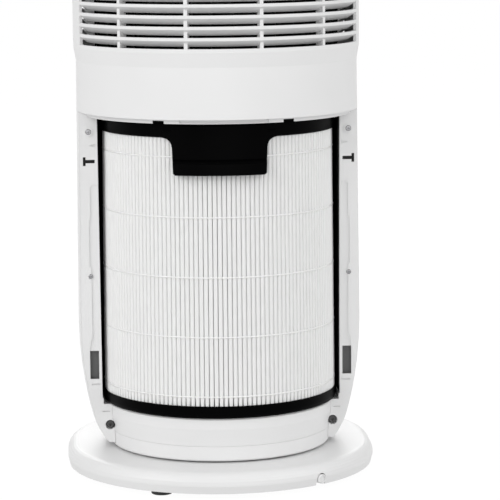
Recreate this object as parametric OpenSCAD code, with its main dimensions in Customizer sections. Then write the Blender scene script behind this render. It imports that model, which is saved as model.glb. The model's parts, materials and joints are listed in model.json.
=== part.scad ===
// Tower air purifier, seen with its rear cover taken off: a round filter stands in the
// open service bay, louvred outlets ring the fan above it, and the whole tower swings
// on a low oval base. +Z is up, the floor is z = 0, and the service side faces -Y.
// The origin is the centre of the base's outline; the tower's axis stands at y = axis_y.

/* [Tower] */
// Height of the whole purifier
tower_h = 580; // [560:1:640]
// Radius of the round body below the louvres
body_r = 115; // [114:0.5:116]
// Radius of the body where its tapered foot starts
low_r = 116.7; // [116:0.1:117]
// Wall of the moulded shells
wall = 2.5; // [2:0.1:3]
// Height of the filter bay's floor
bay_z = 58; // [57:0.5:59]
// Height of the lower edge of the header above the bay
header_z = 296; // [295:0.5:297]
// Half the width of the bay between the rails, at its top
bay_half_top = 98.9; // [98.4:0.1:99.4]
// Half the width of the bay between the rails, at its bottom
bay_half_low = 98.2; // [97.8:0.1:98.8]
// Distance from the axis to the rails' rear faces
rail_y = 24; // [20:1:28]

/* [Louvres] */
// Rows of louvres
rows = 14; // [8:1:16]
// Height from one louvre to the next
louvre_pitch = 8.65; // [8.4:0.05:9]
// Angle that each louvred outlet spans
louvre_angle = 145; // [140:1:150]
// Lower edge of the lowest opening
louvre_z = 354.8; // [353:0.1:356]

/* [Filter] */
// Outer radius of the pleated media at its top
filter_r = 94.6; // [93:0.1:94.8]
// Outer radius of the pleated media at its bottom
filter_low_r = 96; // [95:0.1:96.1]
// Radius of the hollow in the media
core_r = 58; // [54:1:62]
// Height of the lower end ring
ring_low_h = 10.5; // [9:0.5:12]
// Lower edge of the upper end ring
ring_top_z = 283.7; // [282:0.1:286]
// Beads of glue that hold the pleats apart
glue_beads = 5; // [3:1:7]
// Half the width of the pull tab
tab_half = 38; // [34:0.5:42]
// Angle by which the filter stands turned in the bay
filter_turn = -1.9; // [-3:0.1:3]

/* [Base] */
// Radius of the rounded ends of the base
base_r = 127.5; // [124:0.5:128]
// How much longer the base is towards the front
base_stretch = 24; // [16:1:30]
// Height of the base's top
base_h = 22; // [21:0.5:23]
// Height of the rubber feet
foot_h = 4.5; // [4:0.1:5]

/* [Controls] */
// Push buttons on the top panel
buttons = 4; // [4:1:4]
// Radius of a push button
button_r = 7; // [6:0.5:8]

/* [Hidden] */
$fn = 96;

gap = 0.3;                                  // between parts that move past each other
axis_y = -base_stretch / 2;                 // the tower's axis from the base's centre

// Levels of the tower
skirt_z = base_h + 0.8;                     // lower edge of the turning skirt
skirt_top = 35;                             // seam between the skirt and the collar
shell_z = 26;                               // lower edge of the front shell
taper_z = 125;                              // the body's taper starts here, going down
seam_z = header_z + 3.6;                    // seam above the bay
crease_z = 340.3;                           // the louvred band starts to stand proud
band_r = body_r + 2;                        // radius of the louvred band
louvre_top = louvre_z + rows * louvre_pitch;
band_z0 = louvre_z - 3;
band_z1 = louvre_top + 3;
shoulder_z = band_z1 + 11;                  // the band has stepped back in here
cap_z = tower_h - 24;                       // seam below the top cap
deck_z = louvre_top + 8;                    // floor of the electronics bay
inner_r = body_r - wall;

white = [0.93, 0.93, 0.93];
light_grey = [0.8, 0.8, 0.8];
mid_grey = [0.5, 0.5, 0.52];
black = [0.08, 0.08, 0.09];

// ---- helpers ----

module on_axis() { translate([0, axis_y, 0]) children(); }

// A ring about the axis
module ring(r_out, r_in, z0, z1) {
    translate([0, 0, z0]) difference() {
        cylinder(r = r_out, h = z1 - z0);
        translate([0, 0, -1]) cylinder(r = r_in, h = z1 - z0 + 2);
    }
}

// A profile turned through part of a circle, centred on the direction at angle mid
module sweep(mid, angle) {
    rotate([0, 0, mid - angle / 2]) rotate_extrude(angle = angle) children();
}

// Radius of the body below the louvres. It widens slightly going down to taper_z, and below
// that follows a long arc that tightens at its end.
function body_at(z) =
    z >= taper_z ? low_r + (body_r - low_r) * (z - taper_z) / (crease_z - taper_z)
    : z >= 45 ? low_r - 300 + sqrt(300 * 300 - pow(taper_z - z, 2))
    : body_at(45) - 0.277 * (45 - z) - 0.0129 * pow(45 - z, 2);

// Heights at which the taper's profile has a point
taper_steps = [shell_z, 30, 34, 39, 45, 54, 64, 76, 90, 107, taper_z];

// Outline of the body's outer skin from the collar seam to the top cap, as [radius, height]
function skin(inset) = concat(
    [for (z = taper_steps) [body_at(z) - inset, z]],
    [[body_r - inset, crease_z], [band_r - inset, band_z0],
     [band_r - inset, band_z1], [body_r - inset, shoulder_z], [body_r - inset, cap_z]]);

function reversed(list) = [for (i = [len(list) - 1 : -1 : 0]) list[i]];

module skin_profile() { polygon(concat(skin(0), reversed(skin(wall)))); }

// The block of space behind (side = -1) or in front of (side = 1) a plane across the tower
module half_space(y, side, z0, z1) {
    span = 2 * band_r + 20;
    translate([-span / 2, side > 0 ? y : y - span, z0]) cube([span, span, z1 - z0]);
}

// ---- base ----

rim_r = 9;                                  // rounding of the base's upper rim

// Half section of the base's oval, from its middle to its rim
function rim_outline(inset, z_low) = concat(
    [[0, z_low], [base_r - 1.5 - inset, z_low], [base_r - inset, z_low + 6]],
    [for (a = [0 : 15 : 90]) [base_r - rim_r + (rim_r - inset) * cos(a),
                              base_h - 1 - rim_r + (rim_r - inset) * sin(a)]],
    [[0, base_h - inset]]);

// A section carried round the oval: two half turns and the straight stretch between them
module oval_solid(section) {
    half = base_stretch / 2;
    translate([0, -half, 0]) rotate([0, 0, 180]) rotate_extrude(angle = 180) polygon(section);
    translate([0, half, 0]) rotate_extrude(angle = 180) polygon(section);
    translate([0, half, 0]) rotate([90, 0, 0]) linear_extrude(base_stretch) {
        polygon(section);
        mirror([1, 0]) polygon(section);
    }
}

module oval_plate(r, z0, z1) {
    half = base_stretch / 2;
    translate([0, 0, z0]) linear_extrude(z1 - z0) {
        translate([0, -half]) circle(r);
        translate([0, half]) circle(r);
        translate([-r, -half]) square([2 * r, 2 * half]);
    }
}

gland_angle = -90 + 36.2;                     // where the cable leaves the rim
gland_z = foot_h + 5;
gland_r = 3.8;
gland_h = 12.2;                             // its nose stands a little proud of the rim
spigot_r = 30.3;
foot_angles = [-118, -10, 62, 170];
foot_ring_r = 112;
foot_r = 8.5;

// Places each foot, on the near or the far round end of the base
module at_feet() {
    for (a = foot_angles)
        translate([foot_ring_r * cos(a), foot_ring_r * sin(a) + sign(sin(a)) * base_stretch / 2, 0])
            children();
}

screw_ring_r = 96;
module at_base_screws() {
    for (a = [-70, -160, 20, 110])
        translate([screw_ring_r * cos(a), screw_ring_r * sin(a) + sign(sin(a)) * base_stretch / 2, 0])
            children();
}

module gland_notch(r) {
    on_axis() rotate([0, 0, gland_angle]) translate([base_r - 15, 0, gland_z]) rotate([0, 90, 0]) {
        cylinder(r = r, h = 23);
        translate([0, -r, 0]) cube([20, 2 * r, 23]);
    }
}

module base_cover() {
    color(white) difference() {
        oval_solid(rim_outline(0, foot_h));
        oval_solid([for (p = rim_outline(wall, foot_h)) [p[0], p[1] - (p[1] == foot_h ? 1 : 0)]]);
        on_axis() translate([0, 0, base_h - 10]) cylinder(r = spigot_r + 0.1, h = 20);
        gland_notch(gland_r + 0.9);
    }
}

module base_plate() {
    color(mid_grey) difference() {
        union() {
            oval_plate(base_r - 1.5 - wall - 1.2, foot_h + 0.2, foot_h + 2.7);
            at_base_screws() translate([0, 0, foot_h + 1]) cylinder(r = 5, h = base_h - wall - foot_h - 2.3);
        }
        at_base_screws() {
            translate([0, 0, foot_h - 1]) cylinder(r = 4.2, h = 4);
            cylinder(r = 1.7, h = base_h - wall - 2.5);
        }
        at_feet() translate([0, 0, foot_h - 1]) cylinder(r = foot_r - 2, h = 2.5);
        gland_notch(gland_r + 2.2);
    }
}

module base_screws() {
    color(light_grey) at_base_screws() {
        difference() {
            translate([0, 0, foot_h + 1]) cylinder(r = 3.4, h = 1.8);
            translate([0, 0, foot_h]) cylinder(r = 1.5, h = 2, $fn = 6);
        }
        translate([0, 0, foot_h + 2.8]) cylinder(r = 1.65, h = 8);
    }
}

module rubber_feet() {
    color(black) at_feet() {
        cylinder(r1 = foot_r - 0.8, r2 = foot_r, h = 1);
        translate([0, 0, 1]) cylinder(r = foot_r, h = foot_h - 0.8);
        translate([0, 0, foot_h + 0.2]) cylinder(r = foot_r - 2.1, h = 1.2);
    }
}

module cable_gland() {
    color(white) on_axis() rotate([0, 0, gland_angle]) translate([base_r - 11, 0, gland_z]) rotate([0, 90, 0])
        difference() {
            union() {
                cylinder(r = gland_r, h = gland_h);
                translate([0, 0, -2]) cylinder(r = gland_r + 2, h = 2);
            }
            translate([0, 0, gland_h - 1.2]) cylinder(r = gland_r - 1.1, h = 5);
            translate([0, 0, -3]) cylinder(r = 1.6, h = gland_h + 6);
        }
}

// ---- swivel ----

gear_m = 1.5;                               // module of the swing gears
sun_teeth = 50;
pinion_teeth = 14;
gear_z = bay_z - 15;
pinion_angle = 9 * 360 / sun_teeth;       // nine teeth round, so a sun tooth points at the pinion
sun_pitch_r = gear_m * sun_teeth / 2;
pinion_pitch_r = gear_m * pinion_teeth / 2;
gear_distance = sun_pitch_r + pinion_pitch_r + 0.1;

module gear(teeth, bore, height) {
    pitch_r = gear_m * teeth / 2;
    root_r = pitch_r - 1.2 * gear_m;
    tip_r = pitch_r + 0.85 * gear_m;
    linear_extrude(height) difference() {
        union() {
            circle(root_r);
            for (i = [0 : teeth - 1]) rotate(i * 360 / teeth)
                polygon([[root_r - 0.5, -0.62 * gear_m - 0.2], [pitch_r, -0.36 * gear_m * 2],
                         [tip_r, -0.2 * gear_m * 2], [tip_r, 0.2 * gear_m * 2],
                         [pitch_r, 0.36 * gear_m * 2], [root_r - 0.5, 0.62 * gear_m + 0.2]]);
        }
        circle(bore);
    }
}

module swivel_spigot() {
    color(mid_grey) on_axis() difference() {
        union() {
            translate([0, 0, foot_h + 2.7]) cylinder(r = 40, h = 3);
            translate([0, 0, foot_h + 2.7]) cylinder(r = spigot_r, h = gear_z + 10 - foot_h - 2.7);
        }
        cylinder(r = spigot_r - 4, h = gear_z + 20);
    }
}

module sun_gear() {
    color(light_grey) on_axis() translate([0, 0, gear_z]) gear(sun_teeth, spigot_r + 0.02, 5);
}

module bearing_ring() {
    color(light_grey) on_axis() ring(78, 70, base_h, base_h + 2.1);
}

module retaining_ring() {
    color(mid_grey) on_axis() ring(36, spigot_r + 0.02, gear_z + 5, gear_z + 7);
}

floor_z = base_h + 2.4;                     // underside of the turntable

module turntable() {
    color(mid_grey) on_axis() difference() {
        union() {
            translate([0, 0, floor_z]) cylinder(r = 86.6, h = 3);
            ring(40, spigot_r + 1, floor_z, gear_z - gap);
            for (a = [0, 120, 240]) rotate([0, 0, a])
                translate([64, 0, floor_z]) cylinder(r = 5, h = skirt_top - floor_z - 0.2);
        }
        cylinder(r = spigot_r + 0.06, h = gear_z);
    }
}

collar_r = 93.5;

module swivel_skirt() {
    r_low = collar_r - 2.5;
    r_top = collar_r - 2;
    color(white) on_axis() rotate_extrude()
        polygon([[r_low - 4, skirt_z], [r_low - 1, skirt_z], [r_low, skirt_z + 1.2],
                 [r_top, skirt_top - 0.15], [r_top - 4, skirt_top - 0.15]]);
}

// The ring below the filter, closed by the bay's floor
module collar() {
    r_low = collar_r - 2;
    color(white) on_axis() difference() {
        rotate_extrude()
            polygon([[0, bay_z], [0, bay_z - 3], [r_low - 6, bay_z - 3],
                     [r_low - 6, skirt_top], [r_low, skirt_top], [collar_r, bay_z - 9],
                     [collar_r, bay_z - 1], [collar_r - 1, bay_z]]);
        for (s = [-1, 1]) translate([s * lower_screw_x, -rail_y - 4, lower_screw_z]) rotate([90, 0, 0])
            cylinder(r = 4.2, h = 40, center = true);
    }
}

motor_offset = 8;                           // from the geared motor's middle to its shaft

// Small geared motor, with its shaft off centre towards the sun gear
module oscillation_motor() {
    color(light_grey) on_axis() rotate([0, 0, pinion_angle])
        translate([gear_distance + motor_offset, 0, floor_z + 3]) difference() {
            union() {
                cylinder(r = 14, h = gear_z - floor_z - 4);
                translate([-3.5, -21, gear_z - floor_z - 5]) cube([7, 42, 1]);
            }
            translate([-motor_offset, 0, -1]) cylinder(r = 2.55, h = gear_z);
        }
}

module pinion_gear() {
    color(black) on_axis() rotate([0, 0, pinion_angle]) translate([gear_distance, 0, 0]) {
        // turned half a tooth so that it meshes with the sun gear at rest
        rotate([0, 0, 180 + 180 / pinion_teeth])
            translate([0, 0, gear_z]) gear(pinion_teeth, 2.4, 5);
        translate([0, 0, floor_z + 5]) cylinder(r = 2.5, h = gear_z + 5 - floor_z - 5);
    }
}

// ---- shells ----

// Upper outline of the shells, above the seam over the bay
function upper_skin(inset) = [for (p = skin(inset)) if (p[1] > taper_z) p];

// The window that a louvred outlet fills, centred on the direction at angle mid
module louvre_window(mid) {
    on_axis() translate([0, 0, louvre_z]) sweep(mid, louvre_angle)
        translate([body_r - 20, 0]) square([30, louvre_top - louvre_z]);
}

ledge_z = 62.7;                             // top of the ledge that the bay's liner stands on
ledge_half = 97.3;                          // from the middle to the ledge's inner edge

// The bay's floor round the filter, inside the front shell, with the ledge round its edge
module bay_floor() {
    rotate_extrude() polygon([[collar_r + 0.2, bay_z - 2.5], [body_at(bay_z) - 1.5, bay_z - 2.5],
                              [body_at(bay_z) - 1, bay_z], [collar_r + 0.2, bay_z]]);
    difference() {
        translate([0, 0, bay_z - 0.5]) cylinder(r = body_at(bay_z) - 1, h = ledge_z - bay_z + 0.5);
        translate([0, 0, bay_z - 1]) cylinder(r = ledge_half, h = 10);
        translate([-ledge_half, -band_r, bay_z - 1]) cube([2 * ledge_half, band_r, 10]);
    }
}

module front_shell() {
    color(white) difference() {
        on_axis() intersection() {
            union() {
                rotate_extrude() skin_profile();
                bay_floor();
            }
            union() {
                half_space(-rail_y + rail_t + 0.2, 1, shell_z, seam_z - 0.2);
                half_space(0.15, 1, seam_z - 0.3, cap_z);
            }
        }
        louvre_window(90);
        for (i = [-2 : 2]) on_axis()
            translate([0, 0, deck_z + 32 + 5 * i]) rotate([0, 0, 12]) translate([body_r - 8, -9, -1])
                cube([16, 18, 2]);
    }
}

rail_t = 5;                                 // thickness of the side rails
step_h = 1.1;                               // depth of the steps in the rails' faces

// Outer edge of the rail's face: x out from the middle at height z
function rail_x(z) = sqrt(pow(body_at(z), 2) - rail_y * rail_y);

module rail_outline() {
    polygon(concat(
        [for (z = taper_steps) [rail_x(z), z]],
        [[rail_x(seam_z), seam_z - 0.2], [bay_half_top - 4, seam_z - 0.2],
         [bay_half_top - 4, header_z], [bay_half_top, header_z], [bay_half_low, ledge_z],
         [ledge_half, ledge_z], [ledge_half, bay_z],
         [collar_r - 12, bay_z], [collar_r - 12, shell_z]]));
}

screw_x = 106;
screw_z = 283.3;
wedge_z = 272.2;
hook_z = 259.2;                             // the cover's upper hooks go in here
pin_slot_z = [172.5, 211];
small_screw_z = 164.6;
foot_slot_z = [79.2, 102.6];                // the cover's lower hooks go in here
foot_slot_x = [100.5, 107.9];
lower_screw_x = 92.2;
lower_screw_z = 40.6;

module block(x, z) { translate([x[0], z[0]]) square([x[1] - x[0], z[1] - z[0]]); }

// Holes right through the right rail, in its face's own x and z
module rail_holes() {
    translate([screw_x, screw_z]) circle(1.6);
    translate([screw_x, small_screw_z]) circle(1.2);
    translate([lower_screw_x, lower_screw_z]) circle(1.7);
}

// Pockets for the cover's hooks, most of the way through the rail
module rail_pockets() {
    block([101.2, 109], [hook_z - 1.4, hook_z + 1.4]);
    block([108.6, 110.8], [hook_z - 3.6, hook_z + 3.6]);
    block(foot_slot_x, foot_slot_z);
    translate([lower_screw_x, lower_screw_z]) circle(4);
}

// Shallow steps in the right rail's face
module rail_steps() {
    difference() {
        block([bay_half_low - 4, 105.6], [foot_slot_z[1] + 8, 240]);
        translate([105.6, 240]) rotate(45) square(3, center = true);
    }
    block([105.1, 106.9], pin_slot_z);
    polygon([[foot_slot_x[0] - 0.6, foot_slot_z[1]], [foot_slot_x[1], foot_slot_z[1]],
             [foot_slot_x[1] - 1, foot_slot_z[1] + 9], [foot_slot_x[0] - 0.6, foot_slot_z[1] + 9]]);
    block([foot_slot_x[0] - 1, foot_slot_x[1] - 1], [foot_slot_z[0] - 5, foot_slot_z[0] - 3.8]);
    block([92.4, 98.4], [51.5, 52.3]);
    polygon([[105.6, wedge_z], [99.9, wedge_z + 1.4], [99.9, wedge_z - 1.5]]);
}

module side_rail() {
    translate([0, -rail_y + rail_t, 0]) rotate([90, 0, 0]) {
        difference() {
            linear_extrude(rail_t) rail_outline();
            translate([0, 0, -1]) linear_extrude(rail_t + 2) rail_holes();
            translate([0, 0, 0.8]) linear_extrude(rail_t) rail_pockets();
            translate([0, 0, rail_t - step_h]) linear_extrude(2) rail_steps();
            translate([screw_x, small_screw_z, rail_t - 1.1]) cylinder(r = 2, h = 2);
        }
        // raised ring round the upper screw
        translate([screw_x, screw_z, rail_t]) difference() {
            cylinder(r = 3.6, h = 0.8);
            translate([0, 0, -1]) cylinder(r = 2.4, h = 3);
        }
    }
}

// Space that the collar and the skirt take up between the rails
module collar_space() {
    rotate_extrude() polygon([[0, shell_z - 1], [collar_r - 2.2, shell_z - 1],
                              [collar_r - 1.85, skirt_top], [collar_r + 0.1, bay_z - 9],
                              [collar_r + 0.1, bay_z + 1], [0, bay_z + 1]]);
}

lip_r = 109.7;
lip_in = 106.5;
lip_half = 35;                              // half the width of the finger recess in the lip
catch_x = 51.3;
catch_h = 2.3;
lip_angle = 2 * acos((rail_y - 2) / lip_r);   // its ends reach into the rails

module header_lip() {
    difference() {
        sweep(-90, lip_angle)
            polygon([[lip_in, header_z], [lip_r, header_z], [lip_r, seam_z - 0.2], [lip_in, seam_z - 0.2]]);
        sweep(-90, 2 * asin(lip_half / lip_r)) translate([lip_r - 1.5, header_z + 0.6])
            square([6, seam_z - header_z]);
        for (s = [-1, 1]) translate([s * catch_x - 4.3, -lip_r - 2, header_z - 1])
            cube([8.6, 26, catch_h + 1]);
    }
}

// The frame round the bay's open side: two rails joined by the lip over the bay
module bay_frame() {
    color(white) on_axis() difference() {
        union() {
            header_lip();
            side_rail();
            mirror([1, 0, 0]) side_rail();
        }
        collar_space();
    }
}

module rear_shell() {
    color(white) difference() {
        on_axis() sweep(-90, 180) polygon(concat(
            [[body_at(seam_z), seam_z], [body_at(seam_z), seam_z + 1]], upper_skin(0),
            reversed(upper_skin(wall)), [[lip_in, seam_z + 3.2], [lip_in, seam_z]]));
        louvre_window(-90);
    }
}

// One louvre's section: its upper outer edge is at height 0
louvre_section = [[band_r, 0], [band_r, -2.4], [band_r - 7, -7], [band_r - 8.2, -5.8],
                  [band_r - 2.6, 0]];
rib_w = 2.9;
rib_back = 2.5;                             // how far the ribs stand back from the louvres' edges

module louvre_panel(mid) {
    on_axis() {
        for (i = [1 : rows]) translate([0, 0, louvre_z + i * louvre_pitch])
            sweep(mid, louvre_angle - 0.1) polygon(louvre_section);
        for (a = [-45, -15, 15, 45]) rotate([0, 0, mid + a])
            translate([band_r - 9.5, -rib_w / 2, louvre_z])
                cube([9.5 - rib_back, rib_w, louvre_top - louvre_z]);
    }
}

module rear_grille() { color(white) louvre_panel(-90); }
module front_grille() { color(white) louvre_panel(90); }

liner_r = 98.2;

liner_t = 1.6;
liner_back = rail_y - rail_t - 0.2;         // from the axis back to the liner's ends

module bay_liner() {
    liner_h = seam_z - ledge_z - 0.4;
    color(black) on_axis() translate([0, 0, ledge_z + 0.2]) {
        rotate_extrude(angle = 180) translate([liner_r, 0]) square([liner_t, liner_h]);
        for (s = [0, 1]) mirror([s, 0, 0])
            translate([liner_r, -liner_back, 0]) cube([liner_t, liner_back, liner_h]);
    }
}

// Spring catches behind the notches in the lip
module cover_catches() {
    color(black) on_axis() for (s = [-1, 1])
        translate([s * catch_x - 4, -92.5, header_z + 0.2]) cube([8, 6, catch_h - 0.5]);
}

// A screw along +Y with its head towards the service side, head face at y = 0
module rear_screw(head_r, shank_r, length) {
    rotate([-90, 0, 0]) {
        difference() {
            cylinder(r = head_r, h = 1.2);
            translate([0, 0, -1]) cylinder(r = head_r * 0.4, h = 1.8, $fn = 6);
        }
        translate([0, 0, 1.2]) cylinder(r = shank_r, h = length - 1.2);
    }
}

module rail_screws() {
    color(light_grey) on_axis() for (s = [-1, 1]) {
        translate([s * screw_x, -rail_y - 1.2, screw_z]) rear_screw(2.3, 1.5, 10);
        translate([s * screw_x, -rail_y - 0.2, small_screw_z]) rear_screw(1.8, 1.1, 8);
    }
}

module collar_screws() {
    color(mid_grey) on_axis() for (s = [-1, 1])
        translate([s * lower_screw_x, -rail_y + 2.2, lower_screw_z]) rear_screw(3.4, 1.6, 10);
}

// ---- filter ----

filter_z = bay_z + gap;
filter_top = header_z - 0.4;
ring_r = 96.4;
low_ring_r = 96.9;

// Outer radius of the media at a height: it stands a little wider at the bottom
function media_r(z) = filter_low_r + (filter_r - filter_low_r) * (z - filter_z) / (filter_top - filter_z);

module filter_media() {
    z0 = filter_z + 3;
    z1 = filter_top - 3;
    color([0.96, 0.96, 0.94]) on_axis() rotate_extrude()
        polygon([[core_r + 8, z0], [media_r(z0), z0], [media_r(z1), z1], [core_r + 8, z1]]);
}

bead_low = 76.2;                            // heights of the lowest and the highest bead
bead_top = 268.5;

module glue_beads() {
    color(white) on_axis() for (i = [0 : glue_beads - 1]) {
        z = bead_low + i * (bead_top - bead_low) / (glue_beads - 1);
        ring(media_r(z) + 0.55, media_r(z - 0.8) + 0.08, z - 0.8, z + 0.8);
    }
}

module filter_top_ring() {
    inner = media_r(ring_top_z) + 0.2;
    color(black) on_axis() rotate_extrude()
        polygon([[core_r - 2, filter_top], [core_r - 2, filter_top - 3], [inner, filter_top - 3],
                 [inner, ring_top_z], [ring_r - 0.8, ring_top_z], [ring_r, ring_top_z + 0.8],
                 [ring_r, filter_top - 1.2], [ring_r - 1.2, filter_top]]);
}

module filter_bottom_ring() {
    inner = media_r(filter_z + 3) + 0.1;
    color(black) on_axis() rotate_extrude()
        polygon([[core_r - 2, filter_z], [low_ring_r - 3.4, filter_z], [low_ring_r - 1.4, filter_z + 0.7],
                 [low_ring_r - 0.4, filter_z + 2], [low_ring_r, filter_z + 4],
                 [low_ring_r, filter_z + ring_low_h], [inner, filter_z + ring_low_h],
                 [inner, filter_z + 3], [core_r - 2, filter_z + 3]]);
}

tab_low = 254.6;
tab_corner = 1.6;
tab_draft = 1;                              // how much narrower each side is at the bottom
shoulder = 7;
grip_top = tab_low + 11;

// The tab's front view: nearly square lower corners, and shoulders that flow into the ring
module tab_outline() {
    low = tab_half - tab_draft;
    polygon([[-low + tab_corner, tab_low], [low - tab_corner, tab_low], [low, tab_low + tab_corner],
             [tab_half, ring_top_z], [tab_half, filter_top - 1.4], [-tab_half, filter_top - 1.4],
             [-tab_half, ring_top_z], [-low, tab_low + tab_corner]]);
    for (s = [-1, 1]) difference() {
        translate([s > 0 ? tab_half - 1 : -tab_half - shoulder, ring_top_z - shoulder])
            square([shoulder + 1, shoulder + 5]);
        translate([s * (tab_half + shoulder), ring_top_z - shoulder]) circle(shoulder);
    }
}

// A curved tab hanging from the ring, with a thicker grip across its lower edge
module pull_tab() {
    color(black) on_axis() rotate([0, 0, filter_turn]) intersection() {
        sweep(-90, 70) polygon([
            [ring_r + 0.1, filter_top], [ring_r + 0.1, tab_low], [ring_r + 6, tab_low],
            [ring_r + 6.6, tab_low + 0.6], [ring_r + 6.2, grip_top - 2], [ring_r + 4.6, grip_top],
            [ring_r + 2.6, grip_top + 1.4], [ring_r + 2.2, filter_top - 2], [ring_r + 1, filter_top]]);
        translate([0, -70, 0]) rotate([90, 0, 0]) linear_extrude(60) tab_outline();
    }
}

module carbon_layer() {
    color([0.15, 0.15, 0.15]) on_axis() ring(core_r + 7.8, core_r + 2, filter_z + 3.1, filter_top - 3.1);
}

module core_mesh() {
    color(black) on_axis() ring(core_r + 1.8, core_r + 0.4, filter_z + 3.1, filter_top - 3.1);
}

// ---- fan ----

inlet_r = 50;
impeller_r = 74;
impeller_z = seam_z + 14;
blade_h = 62;
blades = 11;
shaft_r = 4;
hub_z = impeller_z + blade_h + 2;
motor_z = hub_z + 6;

module bay_seal() {
    color([0.2, 0.2, 0.2]) on_axis() ring(90, 62, header_z + 0.1, seam_z);
}

module fan_deck() {
    color(white) on_axis() rotate_extrude()
        polygon([[inlet_r, seam_z], [lip_in - 0.3, seam_z], [lip_in - 0.3, seam_z + 3],
                 [inlet_r + 6, seam_z + 3], [inlet_r + 3, seam_z + 5], [inlet_r + 2, seam_z + 12],
                 [inlet_r, seam_z + 12]]);
}

module impeller() {
    color(light_grey) on_axis() {
        difference() {
            union() {
                translate([0, 0, hub_z - 2]) cylinder(r = impeller_r, h = 2.5);
                translate([0, 0, hub_z - 14]) cylinder(r = 12, h = 13);
            }
            translate([0, 0, hub_z - 20]) cylinder(r = shaft_r + 0.02, h = 30);
        }
        ring(impeller_r, inlet_r + 6, impeller_z, impeller_z + 2);
        for (i = [0 : blades - 1]) rotate([0, 0, i * 360 / blades])
            translate([inlet_r + 5, 0, impeller_z + 1]) rotate([0, 0, -42])
                translate([0, -1, 0]) cube([20.5, 2, blade_h]);
    }
}

module motor_shaft() {
    color(light_grey) on_axis() translate([0, 0, hub_z - 13]) cylinder(r = shaft_r, h = 55);
}

module fan_motor() {
    color(mid_grey) on_axis() difference() {
        union() {
            translate([0, 0, motor_z]) cylinder(r = 36, h = 32);
            translate([0, 0, motor_z + 32]) cylinder(r = 12, h = 5);
        }
        translate([0, 0, motor_z - 1]) cylinder(r = shaft_r + 0.06, h = 40);
    }
}

module motor_bracket() {
    color(light_grey) on_axis() {
        ring(40, 36.1, motor_z + 4, motor_z + 34);
        ring(81, 77, motor_z + 24, motor_z + 34);
        for (a = [0 : 60 : 300]) rotate([0, 0, a])
            translate([39, -2, motor_z + 24]) cube([39, 4, deck_z - motor_z - 24]);
    }
}

vanes = 36;
diffuser_in = 82;
diffuser_out = 100;

// Guide vanes between two rings; each vane leans so far that none can be seen past
module fan_diffuser() {
    color(black) on_axis() {
        ring(diffuser_out, diffuser_in, seam_z + 6, seam_z + 9);
        ring(diffuser_out, diffuser_in, deck_z - 6, deck_z - 3);
        for (i = [0 : vanes - 1]) rotate([0, 0, i * 360 / vanes])
            translate([diffuser_in + 1.4, -8.6, seam_z + 8.5]) rotate([0, 0, 46])
                cube([23, 1.6, deck_z - seam_z - 14]);
    }
}

// ---- electronics and top ----

module electronics_deck() {
    color(light_grey) on_axis() difference() {
        translate([0, 0, deck_z]) cylinder(r = inner_r - 0.4, h = 3);
        translate([60, 50, deck_z - 1]) cylinder(r = 6, h = 5);
    }
}

module power_board() {
    color([0.1, 0.35, 0.2]) on_axis() translate([-60, -35, deck_z + 8]) {
        cube([110, 70, 1.6]);
        translate([8, 8, 1.6]) cube([28, 26, 22]);
        translate([46, 12, 1.6]) cylinder(r = 6, h = 20);
        translate([62, 12, 1.6]) cylinder(r = 6, h = 20);
        translate([80, 10, 1.6]) cube([22, 14, 10]);
        translate([46, 40, 1.6]) cube([40, 18, 6]);
        for (x = [4, 106], y = [4, 66]) translate([x, y, -5]) cylinder(r = 3, h = 5);
    }
}

module air_sensor() {
    color(black) on_axis() rotate([0, 0, 12]) translate([inner_r - 26, -18, deck_z + 18])
        cube([18, 36, 28]);
}

panel_r = 92;
panel_z = tower_h - 8;
button_ring = 52;
top_gap = 0.25;
button_angles = [135, 105, 75, 45];          // in an arc along the front

module at_button(i) {
    on_axis() rotate([0, 0, button_angles[i]]) translate([button_ring, 0, 0]) children();
}

// The circuit board under the panel, with a tact switch below each button
module control_board() {
    color([0.1, 0.35, 0.2]) {
        on_axis() translate([0, 0, panel_z - 14]) cylinder(r = 80, h = 1.6);
        for (i = [0 : buttons - 1]) at_button(i)
            translate([-3, -3, panel_z - 12.5]) cube([6, 6, 6]);
    }
}

module top_cap() {
    color(white) on_axis() rotate_extrude()
        polygon([[body_r, cap_z + top_gap], [body_r, tower_h - 8], [body_r - 0.8, tower_h - 4.6],
                 [body_r - 2.6, tower_h - 1.8], [body_r - 5.6, tower_h - 0.2], [body_r - 8, tower_h],
                 [panel_r + 6, tower_h], [panel_r + 1, tower_h - 3], [panel_r + 0.2, panel_z],
                 [panel_r + 0.2, panel_z - 3], [panel_r - 6, panel_z - 3],
                 [panel_r - 6, panel_z - 5.5], [inner_r - 2, panel_z - 5.5],
                 [inner_r - 2, cap_z - 4], [inner_r - 0.2, cap_z - 4], [inner_r - 0.2, cap_z + top_gap]]);
}

module control_panel() {
    color(black) difference() {
        on_axis() translate([0, 0, panel_z - 2.9]) cylinder(r = panel_r, h = 2.9);
        for (i = [0 : buttons - 1]) at_button(i)
            translate([0, 0, panel_z - 5]) cylinder(r = button_r + 0.3, h = 10);
        on_axis() translate([0, 0, panel_z - 5]) cylinder(r = 30, h = 10);
    }
}

module display_lens() {
    color([0.2, 0.2, 0.22]) on_axis() {
        translate([0, 0, panel_z - 2.9]) cylinder(r = 29.8, h = 2.7);
        translate([0, 0, panel_z - 4.4]) cylinder(r = 32, h = 1.5);
    }
}

module push_button(i) {
    color(white) at_button(i) {
        translate([0, 0, panel_z - 4.4]) cylinder(r = button_r, h = 5.8);
        translate([0, 0, panel_z - 4.8]) cylinder(r = button_r + 2, h = 1.5);
    }
}

module power_button() { push_button(0); }
module speed_button() { push_button(1); }
module swing_button() { push_button(2); }
module timer_button() { push_button(3); }

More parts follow.
